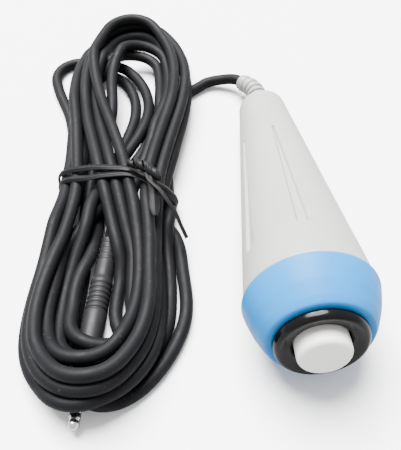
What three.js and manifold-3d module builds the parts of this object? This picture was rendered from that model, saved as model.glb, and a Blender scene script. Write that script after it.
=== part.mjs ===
// Corded hand-held push-button switch with a 3.5 mm jack plug and its cable tied in a hank.
// Millimetres, +Z up. The handle lies on the plane z = 0 with its button end towards -Y and its cable end
// towards +Y. The origin is at the bottom centre of the handle's box, measured without the free cable.
// In the handle's own group, local +Y runs along its axis from the button to the cable, and local y = 0 is
// the plane of the collar's widest ring.

import * as THREE from "three";
import { mergeVertices } from "three/addons/utils/BufferGeometryUtils.js";
import Module from "manifold-3d";

// ---- driving dimensions ----
const GAP = 0.3;              // clearance between touching pieces
const FINE = 32;              // facets round the large turned pieces
const MEDIUM = 24;
const COARSE = 16;

const COLLAR_R = 21.0;        // collar at its widest ring
const COLLAR_FRONT = -14.1;   // collar's front face
const COLLAR_MID_Y = -7.54;   // where the collar's flank turns towards the front
const COLLAR_MID_R = 19.1;
const COLLAR_LIP_R = 16.2;
const COLLAR_REAR = 0.6;

const SHELL_R = 20.4;         // shell just behind the collar
const SHELL_END = 99.5;       // start of the rounded tail
const SHELL_END_R = 9.3;
const TAIL_Y = 103.4;         // flat end of the tail
const TAIL_R = 5.4;
const WALL = 2.4;
const SPIGOT_R = 17.0;        // part of the shell inside the collar
const SPIGOT_WALL = 1.8;
const SPIGOT_FRONT = -8.6;
const PANEL_T = 2.6;          // front wall that carries the switch
const TAIL_BORE_R = 4.0;

const FLUTES = 6;             // grip flutes round the shell
const FLUTE_TURN = -4;        // degrees from the top
const FLUTE_LOW = 14.5;       // rounded wide end
const FLUTE_HIGH = 73;        // narrow end
const FLUTE_HALF_LOW = 1.65;
const FLUTE_HALF_HIGH = 0.55;
const FLUTE_DEPTH = 0.55;

const BEZEL_R = 14.1;
const BEZEL_BASE = COLLAR_FRONT - GAP;
const BEZEL_IN_R = 9.3;
const BARREL_R = 11.0;
const BARREL_REAR = 12;
const BUTTON_R = 8.05;
const BUTTON_FRONT = -21.05;
const BUTTON_SKIRT = -2.4;
const STROKE = 3.0;           // button travel
const GUIDE_Y = 2.0;          // wall inside the barrel that guides the stem
const GUIDE_T = 2.0;
const STEM_R = 2.8;

const CABLE_R = 2.25;
const RELIEF_BORE_R = CABLE_R + GAP;

const HANK_TOP = 16.0;
const TIE_T = 0.9;
const TIE_W = 4.0;

// Tilt that lays the widest ring and the tail's shoulder on the same plane
const TILT = Math.atan2(COLLAR_R - SHELL_END_R, SHELL_END);
const RING_Y = -51.0;         // world y of the widest ring's centre

// Centre line of the free cable from the strain relief to the hank, lying on the table, chosen by hand
const LEAD_POINTS = [
  [-5.9, 70.9, 6.45], [-7.2, 72.5, 6.15], [-9.6, 74.2, 5.4], [-13.2, 75.6, 4.2], [-18.9, 76.0, 3.0],
  [-24.6, 73.6, 2.6],
];
// Centre line of the strain relief from the tail to its tip
const RELIEF_POINTS = [[0, 51.4, 8.85], [-0.2, 57.5, 8.1], [-1.6, 64.8, 7.3], [-5.6, 70.5, 6.5]];

// Outline of the hank seen from above, chosen by hand, and its two openings
const HANK_OUTLINE = [
  [-70, -75.5], [-80, -71], [-86.6, -57], [-87.4, -43], [-84, -21], [-79.5, 4], [-78.6, 20], [-80.6, 44],
  [-83.5, 62], [-86, 79], [-83, 90], [-74, 103], [-62, 112], [-50, 115.5], [-38, 110.5], [-29, 97], [-26, 80],
  [-27, 62], [-31, 45], [-36, 28], [-38.6, 14], [-38, -1], [-36, -21], [-35, -39], [-40, -54], [-50, -66],
  [-60, -73],
];
const TOP_HOLE = { x: -51.5, y: 59, halfLength: 24, halfWidth: 6, turn: -14 };
const LOW_HOLE = { x: -64.8, y: -33, halfLength: 30, halfWidth: 6.6, turn: -8.7 };

// Plug: pin tip, direction from the cable to the tip, and sizes along it
const PLUG_AXIS_Z = 4.0;
const PIN_TIP = [-71.9, -78.5];
const PLUG_SLANT = 8.7;       // degrees between the plug's axis and -Y
const PIN_L = 14;
const PIN_R = 1.75;
const PLUG_R = 3.7;
const PLUG_BODY_L = 38;
const PLUG_TAPER_L = 7;
const PLUG_NECK_L = 10;
const PLUG_NECK_R = 3.1;

// ---- solids ----
const wasm = await Module();
wasm.setup();

function solid(geometry) {
  let g = geometry.clone();
  g.deleteAttribute("normal");
  g.deleteAttribute("uv");
  g = mergeVertices(g, 1e-4);
  const triVerts = [];
  const index = g.index.array;
  for (let i = 0; i < index.length; i += 3) {
    const [a, b, c] = [index[i], index[i + 1], index[i + 2]];
    if (a !== b && b !== c && a !== c) triVerts.push(a, b, c);
  }
  const mesh = new wasm.Mesh({
    numProp: 3,
    vertProperties: new Float32Array(g.attributes.position.array),
    triVerts: new Uint32Array(triVerts),
  });
  return new wasm.Manifold(mesh);
}

function geometryOf(manifold) {
  const mesh = manifold.getMesh();
  const g = new THREE.BufferGeometry();
  const position = new Float32Array(mesh.numVert * 3);
  for (let i = 0; i < mesh.numVert; i += 1) {
    for (let k = 0; k < 3; k += 1) position[3 * i + k] = mesh.vertProperties[mesh.numProp * i + k];
  }
  g.setAttribute("position", new THREE.BufferAttribute(position, 3));
  g.setIndex(new THREE.BufferAttribute(new Uint32Array(mesh.triVerts), 1));
  g.computeVertexNormals();
  return g;
}

// Turned solid about local Y. Points are [radius, y], anticlockwise seen with the radius to the right.
function turned(points, segments = FINE) {
  const profile = points.map(([r, y]) => new THREE.Vector2(Math.max(r, 0), y));
  if (points[0][0] > 0) profile.push(profile[0].clone());
  return solid(new THREE.LatheGeometry(profile, segments));
}

function tubeOf(r, y0, y1, bore, segments = MEDIUM) {
  return turned([[bore, y0], [r, y0], [r, y1], [bore, y1]], segments);
}

function rod(r, y0, y1, segments = MEDIUM) {
  return turned([[0, y0], [r, y0], [r, y1], [0, y1]], segments);
}

function block(x, y, z, cx = 0, cy = 0, cz = 0) {
  return solid(new THREE.BoxGeometry(x, y, z).translate(cx, cy, cz));
}

function curveOf(points) {
  return new THREE.CatmullRomCurve3(points.map((p) => new THREE.Vector3(...p)), false, "centripetal");
}

function circleShape(r, sides, bore = 0) {
  const ring = (radius) => Array.from({ length: sides }, (_, i) => {
    const a = (2 * Math.PI * i) / sides;
    return new THREE.Vector2(radius * Math.cos(a), radius * Math.sin(a));
  });
  const shape = new THREE.Shape(ring(r));
  if (bore > 0) shape.holes.push(new THREE.Path(ring(bore)));
  return shape;
}

function tubeAlong(curve, r, steps, sides, bore = 0) {
  const options = { steps, bevelEnabled: false, extrudePath: curve };
  return solid(new THREE.ExtrudeGeometry(circleShape(r, sides, bore), options));
}

// Flat outline in x and z, extruded along y from y0 to y1
function slab(shape, y0, y1) {
  const g = new THREE.ExtrudeGeometry(shape, { depth: y1 - y0, bevelEnabled: false, curveSegments: 4 });
  g.rotateX(Math.PI / 2);
  return solid(g.translate(0, y1, 0));
}

// ---- scene graph ----
const root = new THREE.Group();
const handle = new THREE.Group();
handle.position.set(0, RING_Y, COLLAR_R * Math.cos(TILT));
handle.rotation.x = -TILT;
root.add(handle);

function finish(colour, roughness, metalness = 0) {
  return new THREE.MeshStandardMaterial({ color: colour, roughness, metalness });
}

const grey = finish(0xd6d6d2, 0.55);
const blue = finish(0x6fb4e6, 0.5);
const black = finish(0x151517, 0.18);
const white = finish(0xe6e4dd, 0.4);
const cableBlack = finish(0x2b2c2e, 0.45);
const steel = finish(0xb9bcc0, 0.3, 1);
const brass = finish(0xc9a24d, 0.35, 1);
const rubber = finish(0x1d1d1e, 0.8);

function add(parent, name, manifold, material) {
  const mesh = new THREE.Mesh(geometryOf(manifold), material);
  mesh.name = name;
  parent.add(mesh);
  return mesh;
}

// ---- shell: hollow tapered handle with a front wall, a tail bore and grip flutes ----
const slope = (SHELL_R - SHELL_END_R) / SHELL_END;
const shellR = (y) => SHELL_R - slope * y;

function shellSolid() {
  const rearFace = COLLAR_REAR + GAP;
  const tail = [];
  for (let i = 0; i <= 4; i += 1) {
    const a = (i / 4) * (Math.PI / 2);
    tail.push([TAIL_R + (SHELL_END_R - TAIL_R) * Math.cos(a), SHELL_END + (TAIL_Y - SHELL_END) * Math.sin(a)]);
  }
  const outer = turned([
    [0, SPIGOT_FRONT], [SPIGOT_R, SPIGOT_FRONT], [SPIGOT_R, rearFace], [shellR(rearFace), rearFace],
    ...tail, [0, TAIL_Y],
  ]);
  const cavity = turned([
    [0, SPIGOT_FRONT + PANEL_T], [SPIGOT_R - SPIGOT_WALL, SPIGOT_FRONT + PANEL_T],
    [SPIGOT_R - SPIGOT_WALL, 3],
    [shellR(8) - WALL, 8], [shellR(96) - WALL, 96], [TAIL_BORE_R, 99], [TAIL_BORE_R, TAIL_Y + 1],
    [0, TAIL_Y + 1],
  ], MEDIUM);
  const frontBore = rod(BARREL_R + GAP, SPIGOT_FRONT - 1, SPIGOT_FRONT + PANEL_T + 1, FINE);
  return outer.subtract(cavity).subtract(frontBore).subtract(fluteCutters());
}

// One flute: a tapered strip with a round low end, standing on the cone's surface
function fluteCutter() {
  const shape = new THREE.Shape();
  const arc = [];
  for (let i = 0; i <= 8; i += 1) {
    const a = Math.PI + (i / 8) * Math.PI;
    arc.push(new THREE.Vector2(
      FLUTE_HALF_LOW * Math.cos(a), FLUTE_LOW + FLUTE_HALF_LOW * (1 + Math.sin(a))));
  }
  shape.setFromPoints([...arc,
    new THREE.Vector2(FLUTE_HALF_HIGH, FLUTE_HIGH - FLUTE_HALF_HIGH),
    new THREE.Vector2(0, FLUTE_HIGH),
    new THREE.Vector2(-FLUTE_HALF_HIGH, FLUTE_HIGH - FLUTE_HALF_HIGH)]);
  const g = new THREE.ExtrudeGeometry(shape, { depth: 6, bevelEnabled: false });
  g.translate(0, 0, SHELL_R - FLUTE_DEPTH);
  // Shear towards the axis with the cone, so that the depth is even
  const position = g.attributes.position;
  for (let i = 0; i < position.count; i += 1) {
    position.setZ(i, position.getZ(i) - slope * position.getY(i));
  }
  return g;
}

function fluteCutters() {
  let all = null;
  for (let i = 0; i < FLUTES; i += 1) {
    const turn = THREE.MathUtils.degToRad(FLUTE_TURN + (360 / FLUTES) * i);
    const cutter = solid(fluteCutter().rotateY(turn));
    all = all ? all.add(cutter) : cutter;
  }
  return all;
}

add(handle, "handle_shell", shellSolid(), grey);

// ---- collar: soft ring pushed over the shell's front, widest at its rear edge ----
const COLLAR_WALL = SPIGOT_R + GAP;
const collarInnerFront = SPIGOT_FRONT - GAP;
add(handle, "collar", turned([
  [BARREL_R + GAP, COLLAR_FRONT], [COLLAR_LIP_R - 1.2, COLLAR_FRONT], [COLLAR_LIP_R - 0.3, COLLAR_FRONT + 0.3],
  [COLLAR_LIP_R + 0.25, COLLAR_FRONT + 1.1], [COLLAR_MID_R - 1.1, COLLAR_MID_Y - 2.6],
  [COLLAR_MID_R, COLLAR_MID_Y], [COLLAR_MID_R + 1.1, COLLAR_MID_Y + 3.6], [COLLAR_R, -0.3], [COLLAR_R, 0.1],
  [COLLAR_R - 0.3, COLLAR_REAR - 0.1], [COLLAR_R - 0.7, COLLAR_REAR], [COLLAR_WALL, COLLAR_REAR],
  [COLLAR_WALL, collarInnerFront], [BARREL_R + GAP, collarInnerFront],
]), blue);

// ---- push-button switch, held in the front wall by its nut ----
function bezelProfile() {
  const points = [];
  const middle = (BEZEL_R + BEZEL_IN_R) / 2;
  const half = (BEZEL_R - BEZEL_IN_R) / 2;
  for (let i = 0; i <= 8; i += 1) {
    const a = (i / 8) * Math.PI;
    points.push([middle - half * Math.cos(a), BEZEL_BASE - 0.5 - 2.6 * Math.sin(a)]);
  }
  return points;
}

const GASKET_IN_R = 11.7;
const GASKET_OUT_R = 13.3;
function switchBodySolid() {
  const groove = BEZEL_BASE - 1.0;
  return turned([
    ...bezelProfile(), [BEZEL_R, BEZEL_BASE], [GASKET_OUT_R + GAP, BEZEL_BASE], [GASKET_OUT_R + GAP, groove],
    [GASKET_IN_R - GAP, groove], [GASKET_IN_R - GAP, BEZEL_BASE], [BARREL_R, BEZEL_BASE],
    [BARREL_R, BARREL_REAR], [9.0, BARREL_REAR], [9.0, GUIDE_Y + GUIDE_T], [STEM_R + 0.5, GUIDE_Y + GUIDE_T],
    [STEM_R + 0.5, GUIDE_Y], [BUTTON_R + 0.45, GUIDE_Y], [BUTTON_R + 0.45, BEZEL_BASE - 0.4],
    [BEZEL_IN_R, BEZEL_BASE - 0.4],
  ], MEDIUM);
}
add(handle, "switch_body", switchBodySolid(), black);
add(handle, "bezel_gasket", tubeOf(GASKET_OUT_R, BEZEL_BASE - 0.7, BEZEL_BASE + 0.05, GASKET_IN_R), rubber);

const washerY = SPIGOT_FRONT + PANEL_T + GAP;
add(handle, "lock_washer", tubeOf(13.6, washerY, washerY + 0.8, BARREL_R + GAP), steel);

const nutY = washerY + 0.8 + GAP;
const nutChamfer = turned([
  [0, nutY - 1], [13.6, nutY - 0.6], [14.8, nutY + 0.6], [14.8, nutY + 3.4], [13.6, nutY + 4.6], [0, nutY + 5],
], MEDIUM);
const nut = rod(14.6, nutY, nutY + 4, 6).intersect(nutChamfer).subtract(rod(BARREL_R + GAP, nutY - 1, nutY + 5));
add(handle, "switch_nut", nut, steel);

// ---- moving pieces: cap, stem, contact bridge and clip ----
const STEM_FRONT = -16.2;
add(handle, "button_cap", turned([
  [0, BUTTON_FRONT], [5.0, BUTTON_FRONT], [6.6, BUTTON_FRONT + 0.3], [7.6, BUTTON_FRONT + 0.95],
  [BUTTON_R, BUTTON_FRONT + 2.0], [BUTTON_R, BUTTON_SKIRT], [6.3, BUTTON_SKIRT], [6.3, STEM_FRONT + 0.3],
  [STEM_R + GAP, STEM_FRONT + 0.3], [STEM_R + GAP, STEM_FRONT - 1.7], [0, STEM_FRONT - 1.7],
], 28), white);

const bridgeY = GUIDE_Y + GUIDE_T + GAP;
const BRIDGE_T = 0.8;
const STEM_TAIL_R = 1.7;
add(handle, "plunger_stem", turned([
  [0, STEM_FRONT - 1.4], [STEM_R, STEM_FRONT - 1.4], [STEM_R, bridgeY - GAP], [STEM_TAIL_R, bridgeY - GAP],
  [STEM_TAIL_R, bridgeY + 2.1], [0, bridgeY + 2.1],
], COARSE), white);
add(handle, "contact_bridge", tubeOf(6.6, bridgeY, bridgeY + BRIDGE_T, STEM_TAIL_R + GAP, COARSE), brass);
const clipY = bridgeY + BRIDGE_T + GAP;
add(handle, "stem_clip", tubeOf(2.55, clipY, clipY + 0.6, STEM_TAIL_R + GAP, COARSE), steel);

// ---- return spring round the stem ----
class Helix extends THREE.Curve {
  constructor(radius, y0, y1, turns) {
    super();
    Object.assign(this, { radius, y0, y1, turns });
  }

  getPoint(t, target = new THREE.Vector3()) {
    const a = 2 * Math.PI * this.turns * t;
    const y = this.y0 + (this.y1 - this.y0) * t;
    return target.set(this.radius * Math.cos(a), y, this.radius * Math.sin(a));
  }
}
const SPRING_WIRE_R = 0.4;
const SPRING_TURNS = 5;
const SPRING_FRONT = STEM_FRONT + 0.3 + GAP + SPRING_WIRE_R;
const SPRING_REAR = GUIDE_Y - GAP - SPRING_WIRE_R;
add(handle, "return_spring", tubeAlong(
  new Helix(4.6, SPRING_FRONT, SPRING_REAR, SPRING_TURNS), SPRING_WIRE_R, 12 * SPRING_TURNS, 5), steel);

// ---- rear insulator and the two terminals ----
const BASE_Y = BARREL_REAR - 2.6;
const CONTACT_Y = bridgeY + BRIDGE_T + STROKE + 0.15;
const BLADE_X = 4.2;
const BLADE_END = 22;
const slots = block(2.0, 8, 5.2, BLADE_X, BASE_Y + 1, 0).add(block(2.0, 8, 5.2, -BLADE_X, BASE_Y + 1, 0));
add(handle, "switch_base",
  rod(8.7, BASE_Y, BASE_Y + 2.4).subtract(rod(2.6, BASE_Y - 1, BASE_Y + 4, COARSE)).subtract(slots), rubber);
for (const [name, side] of [["terminal_a", -1], ["terminal_b", 1]]) {
  const x = side * BLADE_X;
  const blade = block(0.8, BLADE_END - CONTACT_Y - 0.5, 4.4, x, (BLADE_END + CONTACT_Y + 0.5) / 2, 0);
  const head = rod(1.3, CONTACT_Y, CONTACT_Y + 0.8, 10).translate([x, 0, 0]);
  add(handle, name, blade.add(head), brass);
}

// ---- wiring inside the handle ----
const FERRULE_Y = 89;
const JACKET_END = 78;
for (const [name, side, colour] of [["wire_a", -1, 0xa8221c], ["wire_b", 1, 0x1a1a1a]]) {
  const route = curveOf([
    [side * BLADE_X, BLADE_END + GAP, 0], [side * BLADE_X, BLADE_END + 9, 0.4], [side * 3.4, 44, -1.2],
    [side * 1.9, 62, 0.8], [side * 0.95, JACKET_END - 4, 0], [side * 0.95, JACKET_END - GAP, 0],
  ]);
  add(handle, name, tubeAlong(route, 0.7, 12, 6), finish(colour, 0.5));
}
for (const [name, side] of [["heat_shrink_a", -1], ["heat_shrink_b", 1]]) {
  const sleeve = tubeOf(3.3, BLADE_END - 5, BLADE_END + 6, 2.7, 12).translate([side * BLADE_X, 0, 0]);
  add(handle, name, sleeve, rubber);
}
add(handle, "cable_ferrule", tubeOf(3.5, FERRULE_Y, FERRULE_Y + 5, CABLE_R + GAP, COARSE), steel);

// ---- strain relief: flange inside the tail, then ribs along the bend ----
function reliefSolid() {
  const curve = curveOf(RELIEF_POINTS);
  let body = tubeAlong(curve, 3.35, 8, 10, RELIEF_BORE_R);
  const ribs = 5;
  for (let i = 0; i < ribs; i += 1) {
    const t0 = 0.06 + (i * 0.94) / ribs;
    const t1 = t0 + 0.125;
    const at = [t0, (t0 + t1) / 2, t1].map((t) => curve.getPointAt(Math.min(t, 1)).toArray());
    const r = 4.6 - 0.22 * i;
    body = body.add(tubeAlong(curveOf(at), r, 1, 10, RELIEF_BORE_R + 0.4));
  }
  return body;
}
add(root, "strain_relief", reliefSolid(), grey);
add(handle, "relief_flange", turned([
  [RELIEF_BORE_R, 95.6], [5.4, 95.6], [5.4, 96.6], [TAIL_BORE_R - GAP, 98.6], [TAIL_BORE_R - GAP, TAIL_Y - 0.6],
  [RELIEF_BORE_R, TAIL_Y - 0.6],
], COARSE), grey);

// Cable from inside the handle to the strain relief's tip
function innerCable() {
  handle.updateMatrixWorld(true);
  const inside = [JACKET_END, FERRULE_Y, TAIL_Y - 3].map(
    (y) => new THREE.Vector3(0, y, 0).applyMatrix4(handle.matrixWorld).toArray());
  return tubeAlong(curveOf([...inside, ...RELIEF_POINTS]), CABLE_R, 16, 10);
}
add(root, "inner_cable", innerCable(), cableBlack);

// ---- free cable and hank ----
add(root, "cord_lead", tubeAlong(curveOf(LEAD_POINTS), CABLE_R, 8, 10), cableBlack);

function ellipseCutter({ x, y, halfLength, halfWidth, turn }) {
  const shape = new THREE.Shape();
  shape.absellipse(0, 0, halfWidth, halfLength, 0, 2 * Math.PI);
  const g = new THREE.ExtrudeGeometry(shape, { depth: 60, bevelEnabled: false, curveSegments: 10 });
  return solid(g.rotateZ(THREE.MathUtils.degToRad(turn)).translate(x, y, -20));
}

function hankSolid() {
  const outline = new THREE.CatmullRomCurve3(
    HANK_OUTLINE.map(([x, y]) => new THREE.Vector3(x, y, 0)), true, "centripetal");
  const shape = new THREE.Shape(outline.getSpacedPoints(48).slice(0, -1).map((p) => new THREE.Vector2(p.x, p.y)));
  const g = new THREE.ExtrudeGeometry(shape, {
    depth: HANK_TOP - 4, bevelEnabled: true, bevelThickness: 1.8, bevelSize: 1.8, bevelOffset: -1.8,
    bevelSegments: 1,
  });
  let hank = solid(g.translate(0, 0, 2.0));
  hank = hank.subtract(ellipseCutter(TOP_HOLE)).subtract(ellipseCutter(LOW_HOLE));
  // room for the plug below the turns at the near end, and for the tie below the waist
  const channel = block(9.4, 60, 20, 0, 24, -1.9).rotate([0, 0, -PLUG_SLANT]).translate([...PIN_TIP, 0]);
  const tieRoom = block(60, TIE_W + 2, 3.2, -58, 12.5, 0);
  return hank.subtract(channel).subtract(tieRoom);
}
add(root, "cord_hank", hankSolid(), cableBlack);

// ---- plug ----
const plug = new THREE.Group();
plug.position.set(PIN_TIP[0], PIN_TIP[1], PLUG_AXIS_Z);
plug.rotation.z = -THREE.MathUtils.degToRad(PLUG_SLANT);
root.add(plug);

function plugBody() {
  const front = PIN_L;
  const rear = front + PLUG_BODY_L;
  const end = rear + PLUG_TAPER_L;
  let body = turned([
    [0, front], [PLUG_R - 0.3, front], [PLUG_R, front + 0.4], [PLUG_R, rear - 1], [PLUG_R - 0.5, rear],
    [PLUG_NECK_R, end], [PLUG_NECK_R - 0.2, end + PLUG_NECK_L], [0, end + PLUG_NECK_L],
  ], 14);
  body = body.subtract(rod(PIN_R + GAP, front - 1, front + 7, COARSE));
  for (let i = 0; i < 6; i += 1) {
    const y = front + 25.5 + i * 1.9;
    body = body.subtract(tubeOf(PLUG_R + 1, y, y + 0.8, PLUG_R - 0.35, 14));
  }
  return body;
}
add(plug, "plug_body", plugBody(), cableBlack);

const TIP_L = 4.2;
add(plug, "plug_sleeve", tubeOf(PIN_R, TIP_L + 1.2, PIN_L + 6.6, 0.9, COARSE), steel);
add(plug, "plug_insulator", tubeOf(PIN_R - 0.05, TIP_L + 0.25, TIP_L + 0.95, 0.9, COARSE), rubber);
add(plug, "plug_tip", turned([
  [0, 0], [0.7, 0.15], [PIN_R, 1.7], [PIN_R, 2.2], [1.15, 3.1], [PIN_R, 3.7], [PIN_R, TIP_L],
  [0.6, TIP_L], [0.6, PIN_L + 6.6], [0, PIN_L + 6.6],
], 12), steel);

// Short length of cable between the hank and the plug
const plugEnd = PIN_L + PLUG_BODY_L + PLUG_TAPER_L + PLUG_NECK_L;
function tailPoints() {
  plug.updateMatrixWorld(true);
  const from = new THREE.Vector3(0, plugEnd + GAP, 0).applyMatrix4(plug.matrixWorld);
  const to = new THREE.Vector3(0, plugEnd + 4.2, 0.2).applyMatrix4(plug.matrixWorld);
  return [from.toArray(), from.clone().lerp(to, 0.5).toArray(), to.toArray()];
}
add(root, "cord_tail", tubeAlong(curveOf(tailPoints()), CABLE_R, 2, 10), cableBlack);

// ---- twist tie round the waist: band, twisted knot, straight tail and folded tail ----
const tieX0 = -80.4;
const tieX1 = -36.9;
function roundedLoop(x0, x1, z0, z1, r) {
  const s = new THREE.Shape();
  s.moveTo(x0 + r, z0);
  s.lineTo(x1 - r, z0);
  s.absarc(x1 - r, z0 + r, r, -Math.PI / 2, 0);
  s.lineTo(x1, z1 - r);
  s.absarc(x1 - r, z1 - r, r, 0, Math.PI / 2);
  s.lineTo(x0 + r, z1);
  s.absarc(x0 + r, z1 - r, r, Math.PI / 2, Math.PI);
  s.lineTo(x0, z0 + r);
  s.absarc(x0 + r, z0 + r, r, Math.PI, 1.5 * Math.PI);
  return s;
}
function tieSolid() {
  const low = 0.2;
  const high = HANK_TOP + 0.35 + TIE_T;
  const y = 12.5;
  const outer = slab(roundedLoop(tieX0, tieX1, low, high, 3), y - TIE_W / 2, y + TIE_W / 2);
  const inner = slab(
    roundedLoop(tieX0 + TIE_T, tieX1 - TIE_T, low + TIE_T, high - TIE_T, 2.2), y - TIE_W, y + TIE_W);
  const knot = solid(new THREE.CapsuleGeometry(2.2, 6, 2, 8).rotateZ(1.0)).translate([-47, y - 3, high + 1.2]);
  const strip = (points, width) => {
    const s = new THREE.Shape([
      new THREE.Vector2(-width / 2, -0.4), new THREE.Vector2(width / 2, -0.4),
      new THREE.Vector2(width / 2, 0.4), new THREE.Vector2(-width / 2, 0.4)]);
    return solid(new THREE.ExtrudeGeometry(s, { steps: 4, bevelEnabled: false, extrudePath: curveOf(points) }));
  };
  const tail = strip([[-45, y - 4, high + 1], [-40, y - 14, high + 1.2], [-34.2, y - 28, high - 2]], 1.8);
  const fold = strip([[-47.5, y - 4, high + 1], [-46.2, y - 14, high + 1], [-45.2, y - 24, high + 0.6]], 1.8);
  return outer.subtract(inner).add(knot).add(tail).add(fold);
}
add(root, "twist_tie", tieSolid(), rubber);

export default root;
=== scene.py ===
"""Looks for the corded hand switch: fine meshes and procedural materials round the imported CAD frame.

The scene is in metres and in the CAD frame. The sizes below are in millimetres, as in part.mjs, and are
turned into metres where a mesh is made. The camera and the lights are in metres.
"""

import math

import bmesh
import bpy
import numpy as np
from mathutils import Matrix, Vector


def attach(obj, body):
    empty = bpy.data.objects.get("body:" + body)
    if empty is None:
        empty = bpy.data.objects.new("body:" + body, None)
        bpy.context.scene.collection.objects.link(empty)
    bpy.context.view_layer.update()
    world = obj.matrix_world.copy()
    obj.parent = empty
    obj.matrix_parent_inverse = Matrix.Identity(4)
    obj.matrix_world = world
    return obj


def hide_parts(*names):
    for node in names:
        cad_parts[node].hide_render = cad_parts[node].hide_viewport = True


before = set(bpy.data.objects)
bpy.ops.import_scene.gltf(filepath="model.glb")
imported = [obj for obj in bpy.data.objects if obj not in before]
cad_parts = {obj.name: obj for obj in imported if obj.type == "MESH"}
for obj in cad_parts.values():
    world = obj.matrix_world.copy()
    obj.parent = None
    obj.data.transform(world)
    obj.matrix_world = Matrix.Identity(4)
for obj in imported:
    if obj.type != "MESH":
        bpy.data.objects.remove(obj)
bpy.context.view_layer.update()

MM = 0.001

# ---- camera, fitted to the outlines of the handle and the hank; angles in radians ----
CAMERA_AT = (-0.04208, -0.15681, 0.18811)
CAMERA_YAW = 0.0841
CAMERA_DOWN = 0.881
CAMERA_ROLL = 0.0055
CAMERA_LENS = 53.3

# ---- handle, in its own frame: local +Y runs from the button to the cable ----
COLLAR_R = 21.0
SHELL_R = 20.4
SHELL_END = 99.5
SHELL_END_R = 9.3
TAIL_Y = 103.4
TAIL_R = 5.4
TAIL_BORE_R = 4.0
SPIGOT_R = 17.0
RING_Y = -51.0
TILT = math.atan2(COLLAR_R - SHELL_END_R, SHELL_END)
SLOPE = (SHELL_R - SHELL_END_R) / SHELL_END

FLUTES = 6
FLUTE_TURN = -4.0
FLUTE_LOW = 14.5
FLUTE_HIGH = 73.0
FLUTE_HALF_LOW = 1.95
FLUTE_HALF_HIGH = 0.55
FLUTE_DEPTH = 1.0
FLUTE_WALL = 0.72

COLLAR_FRONT = -14.1
BEZEL_BASE = COLLAR_FRONT - 0.3
BEZEL_R = 14.1
BEZEL_IN_R = 9.3
BARREL_R = 11.0
BUTTON_R = 8.05
BUTTON_FRONT = -21.05

# ---- cable ----
CABLE_R = 2.25
CABLE_D = 2 * CABLE_R
CABLE_SIDES = 24
CABLE_STEP = 1.0
RELIEF_POINTS = [(0, 51.4, 8.85), (-0.2, 57.5, 8.1), (-1.6, 64.8, 7.3), (-5.6, 70.5, 6.5)]
RELIEF_STEP = 0.12
RELIEF_RIBS = 6
RELIEF_BASE = 0.03
RELIEF_BASE_R = 4.7
RELIEF_RIB_R = 4.4
RELIEF_TAPER = 0.16
RELIEF_GROOVE_R = 3.25
LEAD_POINTS = [
    (-5.9, 70.9, 6.45), (-7.2, 72.5, 6.15), (-9.6, 74.2, 5.4), (-13.2, 75.6, 4.2), (-18.9, 76.0, 3.0),
    (-24.6, 73.6, 2.6),
]

# ---- plug, in its own frame: local +Y runs from the pin's tip to the cable ----
PIN_TIP = (-71.9, -78.5, 4.0)
PLUG_SLANT = 8.7
PIN_L = 14.0
PIN_R = 1.75
PLUG_R = 3.7
PLUG_BODY_END = 52.0
PLUG_TAPER_END = 59.0
PLUG_END = 69.0
PLUG_NECK_R = 3.1
GRIP_FROM_PIN = 24.6
GRIP_RINGS = 6
GRIP_PITCH = 1.9
NECK_GROOVES = 4
NECK_PITCH = 2.3

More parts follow.
